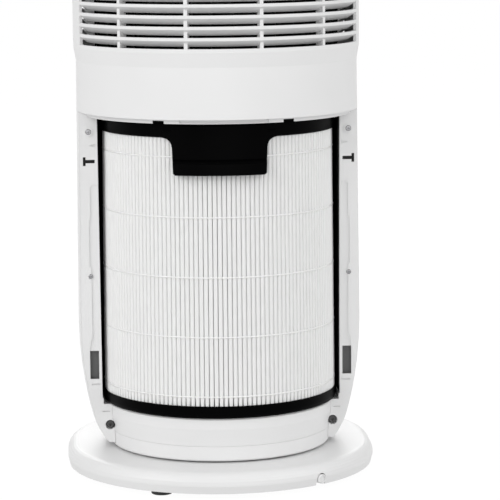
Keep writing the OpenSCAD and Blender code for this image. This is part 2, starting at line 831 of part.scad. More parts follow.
base_cover();
base_plate();
base_screws();
rubber_feet();
cable_gland();
swivel_spigot();
sun_gear();
bearing_ring();
retaining_ring();
turntable();
swivel_skirt();
collar();
oscillation_motor();
pinion_gear();
front_shell();
rear_shell();
bay_frame();
rear_grille();
front_grille();
bay_liner();
cover_catches();
rail_screws();
collar_screws();
filter_media();
glue_beads();
filter_top_ring();
pull_tab();
filter_bottom_ring();
carbon_layer();
core_mesh();
bay_seal();
fan_deck();
impeller();
motor_shaft();
fan_motor();
motor_bracket();
fan_diffuser();
electronics_deck();
power_board();
air_sensor();
control_board();
top_cap();
control_panel();
display_lens();
power_button();
speed_button();
swing_button();
timer_button();
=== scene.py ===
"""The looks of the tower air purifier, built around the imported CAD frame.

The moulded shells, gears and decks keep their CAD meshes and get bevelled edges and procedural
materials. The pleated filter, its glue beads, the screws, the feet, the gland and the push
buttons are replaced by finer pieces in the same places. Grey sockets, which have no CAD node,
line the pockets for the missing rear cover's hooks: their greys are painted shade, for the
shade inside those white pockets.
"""
import json
import math
import random

import bmesh
import bpy
from mathutils import Matrix, Vector


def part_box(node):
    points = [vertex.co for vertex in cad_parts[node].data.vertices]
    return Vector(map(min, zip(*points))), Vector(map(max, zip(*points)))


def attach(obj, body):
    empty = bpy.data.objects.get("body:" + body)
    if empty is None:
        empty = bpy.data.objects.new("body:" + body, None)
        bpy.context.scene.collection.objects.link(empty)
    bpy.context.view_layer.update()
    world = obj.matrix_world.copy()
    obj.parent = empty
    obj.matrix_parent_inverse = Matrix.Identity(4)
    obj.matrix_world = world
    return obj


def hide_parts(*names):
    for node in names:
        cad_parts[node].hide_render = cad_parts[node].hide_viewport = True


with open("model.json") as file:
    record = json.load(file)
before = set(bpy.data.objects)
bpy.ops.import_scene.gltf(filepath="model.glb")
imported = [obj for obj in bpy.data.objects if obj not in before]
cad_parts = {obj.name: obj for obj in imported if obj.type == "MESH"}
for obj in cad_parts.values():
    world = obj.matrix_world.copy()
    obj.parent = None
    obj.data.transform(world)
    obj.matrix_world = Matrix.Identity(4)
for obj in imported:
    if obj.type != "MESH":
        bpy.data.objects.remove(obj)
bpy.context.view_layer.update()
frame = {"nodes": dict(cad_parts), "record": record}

MM = 0.001
NODES = frame["nodes"]
JOINTS = {joint["name"]: joint for joint in frame["record"]["behaviour"]["joints"]}
AXIS_Y = JOINTS["tower_swing"]["pos_m"][1]

# ---- camera: on the service side, a little to the left, looking slightly down ----

# Metres and radians. The yaw moves the camera round the tower's axis; the pan turns it from there.
CAMERA_DISTANCE = 2.031
CAMERA_HEIGHT = 0.4748
CAMERA_YAW = math.radians(3.05)
CAMERA_PAN = 0.0129
CAMERA_PITCH = 0.1437
CAMERA_ROLL = math.radians(-0.52)
CAMERA_LENS = 178.06


def make_camera():
    data = bpy.data.cameras.new("camera")
    data.lens = CAMERA_LENS
    data.clip_end = 50
    camera = bpy.data.objects.new("camera", data)
    bpy.context.scene.collection.objects.link(camera)
    place = Matrix.Translation((-CAMERA_DISTANCE * math.sin(CAMERA_YAW),
                                AXIS_Y - CAMERA_DISTANCE * math.cos(CAMERA_YAW),
                                CAMERA_HEIGHT))
    turn = (Matrix.Rotation(-CAMERA_PAN - CAMERA_YAW, 4, "Z")
            @ Matrix.Rotation(math.pi / 2 - CAMERA_PITCH, 4, "X")
            @ Matrix.Rotation(CAMERA_ROLL, 4, "Z"))
    camera.matrix_world = place @ turn
    bpy.context.scene.camera = camera


make_camera()

# ---- materials ----


# Noise seldom leaves this range, so a ramp between two colours spans it
NOISE_RANGE = (0.3, 0.7)


class Shader:
    """A new material with its Principled shader, and short ways to add nodes to it."""

    def __init__(self, name, color, rough, metallic=0.0):
        self.material = bpy.data.materials.new(name)
        self.material.use_nodes = True
        self.tree = self.material.node_tree
        self.base = self.tree.nodes["Principled BSDF"]
        self.set("Base Color", (*color, 1))
        self.set("Roughness", rough)
        self.set("Metallic", metallic)
        self.coords = self.tree.nodes.new("ShaderNodeTexCoord").outputs["Object"]
        self.color = color
        self.rough = rough

    def set(self, socket, value):
        self.base.inputs[socket].default_value = value

    def add(self, kind, **values):
        made = self.tree.nodes.new("ShaderNode" + kind)
        for key, value in values.items():
            setattr(made, key, value)
        return made

    def link(self, out, into):
        self.tree.links.new(out, into)

    def stretched(self, scale):
        """Object coordinates scaled by (x, y, z)."""
        mapping = self.add("Mapping")
        mapping.inputs["Scale"].default_value = scale
        self.link(self.coords, mapping.inputs["Vector"])
        return mapping.outputs["Vector"]

    def noise(self, scale, detail=3.0, rough=0.5, stretch=None):
        """Noise from 0 to 1 with about this many grains to a metre, stretched along (x, y, z)."""
        made = self.add("TexNoise")
        made.inputs["Scale"].default_value = scale
        made.inputs["Detail"].default_value = detail
        made.inputs["Roughness"].default_value = rough
        self.link(self.stretched(stretch) if stretch else self.coords, made.inputs["Vector"])
        return made.outputs["Fac"]

    def ranged(self, value, low, high):
        """value, from 0 to 1, spread over low to high."""
        made = self.add("MapRange")
        made.inputs["To Min"].default_value = low
        made.inputs["To Max"].default_value = high
        self.link(value, made.inputs["Value"])
        return made.outputs["Result"]

    def vary_color(self, value, darkest, brightest):
        """The base colour times darkest to brightest, as value goes from 0 to 1."""
        ramp = self.add("ValToRGB")
        for stop, factor, place in zip(ramp.color_ramp.elements, (darkest, brightest), NOISE_RANGE):
            stop.color = (*(min(1, part * factor) for part in self.color), 1)
            stop.position = place
        self.link(value, ramp.inputs["Fac"])
        self.link(ramp.outputs["Color"], self.base.inputs["Base Color"])

    def vary_rough(self, value, spread):
        """The roughness less and plus spread, as value goes from 0 to 1."""
        self.link(self.ranged(value, self.rough - spread, self.rough + spread),
                  self.base.inputs["Roughness"])

    def bump(self, *layers):
        """Bump from (height, strength, distance in metres) layers, one on top of the other."""
        last = None
        for height, strength, distance in layers:
            made = self.add("Bump")
            made.inputs["Strength"].default_value = strength
            made.inputs["Distance"].default_value = distance
            self.link(height, made.inputs["Height"])
            if last:
                self.link(last, made.inputs["Normal"])
            last = made.outputs["Normal"]
        self.link(last, self.base.inputs["Normal"])


def moulded(name, color, rough, grain=1400, depth=0.25, uneven=0.02, shine=0.5):
    """Injection-moulded plastic: fine spark grain, slight flow waviness, faint tone changes."""
    s = Shader(name, color, rough)
    s.set("Specular IOR Level", shine)
    s.vary_color(s.noise(9, 2), 1 - uneven, 1 + uneven)
    s.vary_rough(s.noise(60, 3), 0.05)
    s.bump((s.noise(14, 1), 0.12, 0.0004), (s.noise(grain, 2), depth, 0.00006))
    return s.material


def glossy(name, color, rough):
    """Polished plastic with a clear coat and a few soft smears."""
    s = Shader(name, color, rough)
    s.vary_color(s.noise(7, 2), 0.97, 1.03)
    s.vary_rough(s.noise(35, 4), 0.04)
    s.bump((s.noise(22, 1), 0.05, 0.0003))
    s.set("Coat Weight", 0.6)
    s.set("Coat Roughness", 0.06)
    return s.material


def paper(name, color):
    """Glass-fibre filter paper: soft, matte and a little see-through, with tiny fibres."""
    s = Shader(name, color, 0.9)
    s.vary_color(s.noise(500, 4, stretch=(1, 1, 0.2)), 0.97, 1.02)
    s.bump((s.noise(2600, 4, 0.7, stretch=(1, 1, 0.35)), 0.35, 0.00008),
           (s.noise(180, 2, stretch=(1, 1, 0.15)), 0.25, 0.0002))
    s.set("Subsurface Weight", 0.5)
    s.set("Subsurface Radius", (1, 1, 0.97))
    s.set("Subsurface Scale", 0.002)
    s.set("Sheen Weight", 0.15)
    return s.material


def hot_melt(name, color):
    """Milky thermoplastic glue."""
    s = Shader(name, color, 0.35)
    s.vary_color(s.noise(300, 2), 0.98, 1.02)
    s.bump((s.noise(420, 2), 0.3, 0.0002))
    s.set("Subsurface Weight", 0.3)
    s.set("Subsurface Radius", (0.002, 0.002, 0.0018))
    return s.material


def metal(name, color, rough, stretch=(1, 1, 12)):
    """Drawn or plated metal with fine lines and small stains."""
    s = Shader(name, color, rough, metallic=1.0)
    s.vary_color(s.noise(80, 3), 0.88, 1.05)
    s.vary_rough(s.noise(220, 5), 0.1)
    s.bump((s.noise(900, 3, stretch=stretch), 0.25, 0.00008))
    return s.material


def rubber(name, color):
    """Matte rubber, blotched and slightly rough to the touch."""
    s = Shader(name, color, 0.75)
    s.vary_color(s.noise(120, 4), 0.8, 1.25)
    s.bump((s.noise(1500, 3), 0.4, 0.0001))
    s.set("Sheen Weight", 0.1)
    return s.material


def foam(name, color):
    """Fine-celled foam: pores dented in from a cell pattern, each darkened with painted shade."""
    s = Shader(name, color, 0.95)
    cells = s.add("TexVoronoi")
    cells.inputs["Scale"].default_value = 900
    s.link(s.coords, cells.inputs["Vector"])
    # painted shade: the colour darkens in each pore, where the bump dents the surface
    s.vary_color(cells.outputs["Distance"], 0.5, 1.3)
    s.bump((cells.outputs["Distance"], 0.8, 0.0005))
    return s.material


def felt(name, color):
    """Needled felt, speckled with carbon grains."""
    s = Shader(name, color, 1.0)
    s.vary_color(s.noise(700, 5, 0.7), 0.4, 1.8)
    s.bump((s.noise(1200, 5, 0.8), 0.7, 0.0004))
    s.set("Sheen Weight", 0.3)
    return s.material


def circuit(name, color):
    """Solder mask with copper tracks under it."""
    s = Shader(name, color, 0.3)
    tracks = s.add("TexBrick")
    tracks.inputs["Scale"].default_value = 55
    tracks.inputs["Mortar Size"].default_value = 0.05
    tracks.inputs["Color1"].default_value = (*color, 1)
    tracks.inputs["Color2"].default_value = (*(part * 0.9 for part in color), 1)
    tracks.inputs["Mortar"].default_value = (*(min(1, part * 1.7) for part in color), 1)
    s.link(s.coords, tracks.inputs["Vector"])
    s.link(tracks.outputs["Color"], s.base.inputs["Base Color"])
    s.bump((tracks.outputs["Fac"], 0.3, 0.00004))
    s.set("Coat Weight", 0.4)
    return s.material


def perforated(name, color, rough):
    """Moulded netting: a square lattice of small dimples in place of holes, each darkened with painted
    shade.
    """
    s = Shader(name, color, rough)
    holes = s.add("TexVoronoi")
    holes.inputs["Scale"].default_value = 260
    holes.inputs["Randomness"].default_value = 0.0
    s.link(s.coords, holes.inputs["Vector"])
    # painted shade: the colour darkens in each dimple, standing for the shade inside a hole
    s.vary_color(holes.outputs["Distance"], 0.3, 1.6)
    s.bump((holes.outputs["Distance"], 1.0, 0.0008))
    return s.material


MATERIALS = {
    "shell": moulded("shell_white", (0.77, 0.77, 0.77), 0.42),
    "deck_white": moulded("deck_white", (0.66, 0.66, 0.65), 0.55),
    "button_white": glossy("button_white", (0.8, 0.8, 0.8), 0.25),
    "grey": moulded("deck_grey", (0.32, 0.32, 0.33), 0.5, grain=900),
    "acetal": moulded("acetal", (0.7, 0.7, 0.67), 0.35, grain=600, depth=0.1),
    "black": moulded("black_plastic", (0.0008, 0.0008, 0.0009), 0.34, grain=1100, uneven=0.1, shine=0.02),
    "liner": moulded("liner_black", (0.004, 0.004, 0.0045), 0.4, grain=1100, uneven=0.1, shine=0.2),
    "inner_black": moulded("inner_black", (0.003, 0.003, 0.003), 0.7, uneven=0.1, shine=0.1),
    # Painted shade: the two pocket greys stand for the shade inside the white hook pockets of the rails
    "pocket_shade_grey": moulded("pocket_shade_grey", (0.14, 0.14, 0.14), 0.6, grain=900, shine=0.2),
    "pocket_shade_dark": moulded("pocket_shade_dark", (0.045, 0.045, 0.045), 0.6, grain=900, shine=0.2),
    "steel": metal("plated_steel", (0.33, 0.33, 0.34), 0.24),
    "sheet_steel": metal("galvanised_steel", (0.5, 0.51, 0.53), 0.42, stretch=(12, 1, 1)),
    "black_steel": metal("black_oxide", (0.1, 0.1, 0.1), 0.45),
    "paper": paper("filter_paper", (0.84, 0.84, 0.835)),
    "glue": hot_melt("hot_melt", (0.85, 0.85, 0.845)),
    "felt": felt("carbon_felt", (0.03, 0.03, 0.03)),
    "foam": foam("bay_foam", (0.04, 0.04, 0.045)),
    "rubber": rubber("foot_rubber", (0.015, 0.015, 0.015)),
    "board": circuit("solder_mask", (0.02, 0.12, 0.05)),
    "panel": glossy("panel_gloss", (0.012, 0.012, 0.014), 0.12),
    "lens": glossy("smoked_lens", (0.02, 0.02, 0.026), 0.04),
    "netting": perforated("core_netting", (0.02, 0.02, 0.02), 0.5),
}

BEVEL_SEGMENTS = 2
BEVEL_ANGLE = math.radians(35)

# Material and bevel width (in mm, 0 for none) of each CAD node that stays
DRESS = {
    "base_cover": ("shell", 0), "swivel_skirt": ("shell", 0.3), "collar": ("shell", 0.4),
    "front_shell": ("shell", 0.35), "rear_shell": ("shell", 0.35), "bay_frame": ("shell", 0.3),
    "rear_grille": ("shell", 0.5), "front_grille": ("shell", 0.5), "top_cap": ("shell", 0.3),
    "fan_deck": ("deck_white", 0.4), "base_plate": ("grey", 0.4), "turntable": ("grey", 0.4),
    "electronics_deck": ("grey", 0.4), "swivel_spigot": ("acetal", 0.4), "sun_gear": ("acetal", 0.15),
    "bearing_ring": ("acetal", 0.2), "retaining_ring": ("acetal", 0.2), "pinion_gear": ("acetal", 0.15),
    "motor_shaft": ("steel", 0.3), "oscillation_motor": ("sheet_steel", 0.4),
    "motor_bracket": ("sheet_steel", 0.3), "fan_motor": ("sheet_steel", 0.6),
    "bay_liner": ("liner", 0.3), "cover_catches": ("black", 0.3), "filter_top_ring": ("black", 0.5),
    "pull_tab": ("black", 0.7), "filter_bottom_ring": ("black", 0.6), "core_mesh": ("netting", 0),
    "impeller": ("inner_black", 0.3), "fan_diffuser": ("inner_black", 0.2),
    "air_sensor": ("inner_black", 0.5), "carbon_layer": ("felt", 0), "bay_seal": ("foam", 0.4),
    "power_board": ("board", 0.2), "control_board": ("board", 0.2),
    "control_panel": ("panel", 0.3), "display_lens": ("lens", 0.4),
}


def dress(node, material, bevel):
    obj = NODES[node]
    obj.data.materials.clear()
    obj.data.materials.append(MATERIALS[material])
    if bevel:
        edge = obj.modifiers.new("edges", "BEVEL")
        edge.width = bevel * MM
        edge.segments = BEVEL_SEGMENTS
        edge.limit_method = "ANGLE"
        edge.angle_limit = BEVEL_ANGLE


for node_name, (material_name, bevel_width) in DRESS.items():
    dress(node_name, material_name, bevel_width)

# ---- helpers for the pieces ----


def centre(node):
    """Middle of a node's box."""
    low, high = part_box(node)
    return (Vector(low) + Vector(high)) / 2


def mesh_object(name, verts, faces, material):
    """A smooth-shaded object from points and faces."""
    mesh = bpy.data.meshes.new(name)
    mesh.from_pydata(verts, [], faces)
    mesh.update()
    mesh.polygons.foreach_set("use_smooth", [True] * len(mesh.polygons))
    mesh.materials.append(MATERIALS[material])
    obj = bpy.data.objects.new(name, mesh)
    bpy.context.scene.collection.objects.link(obj)
    return obj


def lathe(name, profile, material, segments=64):
    """A solid turned about Z from (radius, height) points in mm, first and last on the axis."""
    verts = []
    faces = []
    rings = []
    for radius, height in ((r * MM, z * MM) for r, z in profile):
        if radius == 0:
            rings.append([len(verts)])
            verts.append((0, 0, height))
            continue
        rings.append(list(range(len(verts), len(verts) + segments)))
        for i in range(segments):
            angle = 2 * math.pi * i / segments
            verts.append((radius * math.cos(angle), radius * math.sin(angle), height))
    for low, high in zip(rings, rings[1:]):
        for i in range(segments):
            j = (i + 1) % segments
            if len(low) == 1:
                faces.append((low[0], high[j], high[i]))
            elif len(high) == 1:
                faces.append((low[i], low[j], high[0]))
            else:
                faces.append((low[i], low[j], high[j], high[i]))
    return mesh_object(name, verts, faces, material)


def crease(obj, degrees=40):
    """Shades edges sharper than this as sharp, and the rest as smooth."""
    obj.data.set_sharp_from_angle(angle=math.radians(degrees))


def arc(cx, cz, radius, start, end, steps=5):
    """Points of an arc in a profile, from start to end degrees."""
    return [(cx + radius * math.cos(math.radians(start + (end - start) * i / steps)),
             cz + radius * math.sin(math.radians(start + (end - start) * i / steps)))
            for i in range(steps + 1)]


def settle(obj, place, body, slot_name, *nodes):
    """Bakes place into the mesh, rides the piece on its body and hides the CAD nodes it replaces."""
    obj.data.transform(place)
    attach(obj, body)
    if nodes:
        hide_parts(*nodes)


def join(name, objects):
    """One object from several."""
    bpy.ops.object.select_all(action="DESELECT")
    for obj in objects:
        obj.select_set(True)
    bpy.context.view_layer.objects.active = objects[0]
    bpy.ops.object.join()
    objects[0].name = name
    return objects[0]


def cut(obj, cutter):
    """Subtracts cutter from obj and removes it."""
    modifier = obj.modifiers.new("cut", "BOOLEAN")
    modifier.operation = "DIFFERENCE"
    modifier.solver = "EXACT"
    modifier.object = cutter
    bpy.ops.object.select_all(action="DESELECT")
    obj.select_set(True)
    bpy.context.view_layer.objects.active = obj
    bpy.ops.object.modifier_apply(modifier=modifier.name)
    bpy.data.objects.remove(cutter, do_unlink=True)


# ---- filter: pleats and glue beads ----

PLEATS = 156
HALF_PITCH = math.pi / PLEATS
PLEAT_DEPTH = 9.0 * MM
PLEAT_ROWS = 40

# One pleat from valley to valley: (share of the half pitch, share of the depth)
PLEAT_SECTION = [(-1.0, 1.0), (-0.95, 0.9), (-0.92, 0.45), (-0.88, 0.1), (-0.76, 0.03), (-0.42, 0.008),
                 (0.0, 0.0), (0.42, 0.008), (0.76, 0.03), (0.88, 0.1), (0.92, 0.45), (0.95, 0.9)]

# How unevenly the pleats stand: the first two as shares of the half pitch, the last as a depth
PLEAT_SWAY = 0.02
PLEAT_OFFSET = 0.012
PLEAT_SINK = 0.03 * MM

# The share of its width that a pleat loses at the very foot, where the pleats part
PLEAT_GAPE = 0.3

MEDIA_LOW, MEDIA_HIGH = (Vector(corner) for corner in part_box("filter_media"))


def radius_at(node, z):
    """Largest distance from the tower's axis among a node's points at height z."""
    return max(math.hypot(v.co.x, v.co.y - AXIS_Y) for v in NODES[node].data.vertices
               if abs(v.co.z - z) < 0.1 * MM)


MEDIA_LOW_R = radius_at("filter_media", MEDIA_LOW.z)
MEDIA_HIGH_R = radius_at("filter_media", MEDIA_HIGH.z)


def media_radius(z):
    """Outer radius of the media, which widens towards its foot."""
    share = (z - MEDIA_LOW.z) / (MEDIA_HIGH.z - MEDIA_LOW.z)
    return MEDIA_LOW_R + (MEDIA_HIGH_R - MEDIA_LOW_R) * share


def bead_heights():
    """Middle height of each glue bead of the CAD, whose points lie at its foot and at its top."""
    tallest_bead = 3 * MM
    levels = sorted({round(v.co.z, 4) for v in NODES["glue_beads"].data.vertices})
    return [(low + high) / 2 for low, high in zip(levels, levels[1:]) if high - low < tallest_bead]


BEADS = bead_heights()


def freedom(z):
    """0 where a bead or a ring holds the pleats, up to 1 midway between two of them."""
    stops = [MEDIA_LOW.z] + BEADS + [MEDIA_HIGH.z]
    for low, high in zip(stops, stops[1:]):
        if z <= high:
            return math.sin(math.pi * (z - low) / (high - low))
    return 0.0


def gape(z):
    """The share of their width that the pleats lose at height z, below the lowest bead."""
    share = min(1, max(0, (BEADS[0] - z) / (BEADS[0] - MEDIA_LOW.z)))
    return PLEAT_GAPE * math.sin(math.pi / 2 * share)


def pleated_media():
    """The folded paper as one closed band, each pleat a little out of line with the next."""
    rng = random.Random(11)
    sway = [rng.gauss(0, PLEAT_SWAY) for _ in range(PLEATS)]
    sink = [abs(rng.gauss(0, PLEAT_SINK)) for _ in range(PLEATS)]
    offsets = [rng.gauss(0, PLEAT_OFFSET) for _ in range(PLEATS)]
    levels = [MEDIA_LOW.z + (MEDIA_HIGH.z - MEDIA_LOW.z) * i / PLEAT_ROWS for i in range(PLEAT_ROWS + 1)]
    verts = []
    for z in levels:
        free = freedom(z)
        narrowed = 1 - gape(z)
        for k in range(PLEATS):
            middle = 2 * math.pi * k / PLEATS
            shift = (offsets[k] + sway[k] * free) * HALF_PITCH
            for across, depth in PLEAT_SECTION:
                # the valleys stay where they are, so neighbouring pleats stay joined
                moved = shift * (1 - abs(across))
                drawn = across if abs(across) == 1 else across * narrowed
                angle = middle + drawn * HALF_PITCH + moved
                sunk = sink[k] * (1 - depth) * (0.3 + 0.7 * free)
                radius = media_radius(z) - PLEAT_DEPTH * depth - sunk
                verts.append((radius * math.cos(angle), AXIS_Y + radius * math.sin(angle), z))
    around = PLEATS * len(PLEAT_SECTION)
    faces = []
    for row in range(PLEAT_ROWS):
        first = row * around
        for i in range(around):
            j = (i + 1) % around
            faces.append((first + i, first + j, first + around + j, first + around + i))
    return mesh_object("pleated_media", verts, faces, "paper")


settle(pleated_media(), Matrix.Identity(4), "filter", "filter_paper", "filter_media")

# Section of a bead, in mm: (outwards from the pleats' crests, upwards from its middle)
BEAD_SECTION = [(0.36, 0.0), (0.26, 0.45), (0.0, 0.72), (-0.6, 0.6), (-1.0, 0.0),
                (-0.6, -0.6), (0.0, -0.72), (0.26, -0.45)]
BEAD_SAG = 0.3
BEAD_WAVES = 24
BEAD_WANDER = 0.05


def glue_bead(index, z):
    """A bead of glue round the pleats, sagging a little into each valley and waving up and down."""
    rng = random.Random(50 + index)
    wander = [rng.gauss(0, BEAD_WANDER) * MM for _ in range(BEAD_WAVES)]
    steps = PLEATS * 4
    verts = []
    for i in range(steps):
        angle = 2 * math.pi * i / steps
        valley = (1 - math.cos(PLEATS * angle)) / 2
        wave = i / steps * BEAD_WAVES
        lift = wander[int(wave)] * math.sin(math.pi * (wave % 1))
        for out, up in BEAD_SECTION:
            radius = media_radius(z) + (out - BEAD_SAG * valley) * MM
            verts.append((radius * math.cos(angle), AXIS_Y + radius * math.sin(angle),
                          z + up * MM + lift))
    count = len(BEAD_SECTION)
    faces = []
    for i in range(steps):
        this = i * count
        following = ((i + 1) % steps) * count
        for k in range(count):
            j = (k + 1) % count
            faces.append((this + k, following + k, following + j, this + j))
    return mesh_object("glue_bead_%d" % index, verts, faces, "glue")


for bead_index, bead_z in enumerate(BEADS):
    settle(glue_bead(bead_index, bead_z), Matrix.Identity(4), "filter", "hot_glue", "glue_beads")

# ---- screws ----

# Shares of a screw head's radius, except the limit, which is in mm
HEAD_HEIGHT = 0.55
HEAD_HEIGHT_LIMIT = 1.8
SHANK_RADIUS = 0.48

# Shares of a screw's shank radius
THREAD_PITCH = 0.7
THREAD_ROOT = 0.72
SCREW_TIP = 0.6


def cross_recess(width, reach, depth):
    """Two tapered bars that cut a driver's cross into a screw head whose top is at z = 0."""
    tip = 0.35
    bars = []
    for turn in (0, math.pi / 2):
        mesh = bmesh.new()
        bmesh.ops.create_cube(mesh, size=1)
        for v in mesh.verts:
            taper = 1 if v.co.z > 0 else tip
            v.co = Vector((v.co.x * 2 * reach * taper, v.co.y * width * (0.6 + 0.4 * taper),
                           v.co.z * 2 * depth))
        data = bpy.data.meshes.new("recess")
        mesh.to_mesh(data)
        mesh.free()
        data.transform(Matrix.Rotation(turn, 4, "Z"))
        bar = bpy.data.objects.new("recess", data)
        bpy.context.scene.collection.objects.link(bar)
        bars.append(bar)
    return bars


def screw(head_r, length, material):
    """A pan-head self-tapping screw along -Z, the top of its head at z = 0; lengths in mm."""
    head_h = min(HEAD_HEIGHT_LIMIT, head_r * HEAD_HEIGHT)
    shank_r = head_r * SHANK_RADIUS
    root_r = shank_r * THREAD_ROOT
    pitch = shank_r * THREAD_PITCH
    rim = head_h * 0.45
    head = [(0, 0)] + arc(head_r - rim, -rim, rim, 90, 0, 6) + [(head_r, -head_h), (shank_r, -head_h)]
    thread = []
    for i in range(int((length - head_h - 1.2 * shank_r) / pitch)):
        z = -head_h - i * pitch
        thread += [(shank_r, z - 0.15 * pitch), (root_r, z - 0.5 * pitch), (root_r, z - 0.8 * pitch)]
    tip = [(shank_r * SCREW_TIP, -length + shank_r), (0, -length)]
    obj = lathe("screw", list(reversed(head + thread + tip)), material, 48)
    for bar in cross_recess(head_r * 0.3 * MM, head_r * 0.62 * MM, head_h * 0.75 * MM):
        cut(obj, bar)
    crease(obj)
    return obj


def islands(node):
    """Box of each separate solid of a node, as (low corner, high corner), always in one order."""
    mesh = bmesh.new()
    mesh.from_mesh(NODES[node].data)
    bmesh.ops.remove_doubles(mesh, verts=mesh.verts, dist=1e-6)
    left = set(mesh.verts)
    boxes = []
    while left:
        stack = [left.pop()]
        group = []
        while stack:
            v = stack.pop()
            group.append(v.co.copy())
            for e in v.link_edges:
                other = e.other_vert(v)
                if other in left:
                    left.remove(other)
                    stack.append(other)
        boxes.append((Vector([min(p[i] for p in group) for i in range(3)]),
                      Vector([max(p[i] for p in group) for i in range(3)])))
    mesh.free()
    return sorted(boxes, key=lambda box: tuple(box[0]))


def make_screws(node, body, metal_name, faces_service):
    """A detailed screw in the place of each solid of a node, its head to the service side or down."""
    made = []
    for low, high in islands(node):
        middle = (low + high) / 2
        if faces_service:
            length = high.y - low.y
            place = Matrix.Translation((middle.x, low.y, middle.z)) @ Matrix.Rotation(math.pi / 2, 4, "X")
        else:
            length = high.z - low.z
            place = Matrix.Translation((middle.x, middle.y, low.z)) @ Matrix.Rotation(math.pi, 4, "X")
        obj = screw((high.x - low.x) / 2 / MM, length / MM, metal_name)
        obj.data.transform(place)
        made.append(obj)
    group = join(node + "_detailed", made)
    settle(group, Matrix.Identity(4), body, metal_name, node)


make_screws("rail_screws", "tower", "steel", True)
make_screws("collar_screws", "tower", "black_steel", True)
make_screws("base_screws", "base", "steel", False)

# ---- sockets that line the pockets for the rear cover's hooks, in the side rails, in greys of painted shade ----

# The upper pockets as part.scad cuts them, in mm: x and y from the tower's axis, z from the floor.
# A pocket is a T on its side: a narrow bar, and a taller head at the bar's outer end.
RAIL_FACE_Y = -24
POCKET_FLOOR_Y = -19.8
HOOK_Z = 259.2
HOOK_BAR = (101.2, 109)
HOOK_BAR_HALF = 1.4
HOOK_HEAD = (108.6, 110.8)
HOOK_HEAD_HALF = 3.6

# Free space between a socket and its pocket's walls, and how far the lower pockets exceed the
# openings that the record states for them
SOCKET_GAP = 0.06
OPENING_MARGIN_X = 0.1
OPENING_MARGIN_Z = 0.2


def inset_outline(outline, wall):
    """A right-angled outline, counterclockwise, moved inwards by wall."""
    count = len(outline)
    moved = []
    for i, (x, z) in enumerate(outline):
        before = Vector(outline[i]) - Vector(outline[i - 1])
        after = Vector(outline[(i + 1) % count]) - Vector(outline[i])
        before.normalize()
        after.normalize()
        shift = Vector((-before.y, before.x)) + Vector((-after.y, after.x))
        moved.append((x + shift.x * wall, z + shift.y * wall))
    return moved


def socket(name, outline, set_back, wall, material, slot_name):
    """A thin cup in a pocket, its mouth set back from the rail's face, in a grey of painted shade; lengths
    in mm.
    """
    outer = inset_outline(outline, SOCKET_GAP)
    inner = inset_outline(outline, SOCKET_GAP + wall)
    mouth_y = RAIL_FACE_Y + set_back
    levels = [(outer, POCKET_FLOOR_Y), (outer, mouth_y), (inner, mouth_y), (inner, POCKET_FLOOR_Y - wall)]
    verts = [(x * MM, AXIS_Y + y * MM, z * MM) for points, y in levels for x, z in points]
    count = len(outline)
    faces = [tuple(range(count)), tuple(range(4 * count - 1, 3 * count - 1, -1))]
    for ring in range(3):
        for i in range(count):
            j = (i + 1) % count
            faces.append((ring * count + j, ring * count + i, (ring + 1) * count + i,
                          (ring + 1) * count + j))
    obj = mesh_object(name, verts, faces, material)
    crease(obj, 30)
    settle(obj, Matrix.Identity(4), "tower", slot_name)


def upper_outline():
    """The upper pocket on the right."""
    foot, top = HOOK_Z - HOOK_BAR_HALF, HOOK_Z + HOOK_BAR_HALF
    head_foot, head_top = HOOK_Z - HOOK_HEAD_HALF, HOOK_Z + HOOK_HEAD_HALF
    return [(HOOK_BAR[0], foot), (HOOK_HEAD[0], foot), (HOOK_HEAD[0], head_foot),
            (HOOK_HEAD[1], head_foot), (HOOK_HEAD[1], head_top), (HOOK_HEAD[0], head_top),
            (HOOK_HEAD[0], top), (HOOK_BAR[0], top)]


def lower_outline():
    """The lower pocket on the right, from the opening that the record states for it."""
    low, high = frame["record"]["physics"]["openings"][0]["box_m"]
    inner, outer = sorted((abs(low[0]) / MM, abs(high[0]) / MM))
    left, right = inner - OPENING_MARGIN_X, outer + OPENING_MARGIN_X
    foot, top = low[2] / MM - OPENING_MARGIN_Z, high[2] / MM + OPENING_MARGIN_Z
    return [(left, foot), (right, foot), (right, top), (left, top)]


def mirrored(outline):
    return [(-x, z) for x, z in reversed(outline)]


# Painted shade: the upper linings in dark grey and the lower ones in mid grey stand for the shade inside the
# white pockets; the upper ones' slot name black_plastic is shade as well, not black plastic
def line_pockets_with_shade(side, upper, lower):
    socket("upper_pocket_shade_" + side, upper, set_back=0.5, wall=0.25,
           material="pocket_shade_dark", slot_name="black_plastic")
    socket("lower_pocket_shade_" + side, lower, set_back=0.9, wall=0.4,
           material="pocket_shade_grey", slot_name="grey_plastic")


line_pockets_with_shade("right", upper_outline(), lower_outline())
line_pockets_with_shade("left", mirrored(upper_outline()), mirrored(lower_outline()))

# ---- rubber feet, gland and buttons ----


def make_feet():
    """Rubber feet: two ridges in a hollow underneath, a rounded side and a neck into the plate."""
    hollow = 0.5
    ridge = 0.05
    made = []
    for low, high in islands("rubber_feet"):
        radius = (high.x - low.x) / 2 / MM
        height = (high.z - low.z) / MM
        neck_r = radius - 2.1
        shoulder = height - 1.3
        profile = [(0, hollow)]
        for inner in (2.2, 4.4):
            profile += [(inner - 0.3, hollow), (inner - 0.1, ridge),
                        (inner + 1.2, ridge), (inner + 1.4, hollow)]
        profile += [(6.0, 0)]
        profile += arc(radius - 1.2, 1.2, 1.2, -90, 0)
        profile += arc(radius - 0.6, shoulder - 0.6, 0.6, 0, 90)
        profile += [(neck_r, shoulder), (neck_r, height), (0, height)]
        obj = lathe("foot", profile, "rubber")
        crease(obj)
        obj.data.transform(Matrix.Translation(((low.x + high.x) / 2, (low.y + high.y) / 2, low.z)))
        made.append(obj)
    settle(join("rubber_feet_detailed", made), Matrix.Identity(4), "base", "foot_rubber", "rubber_feet")


make_feet()


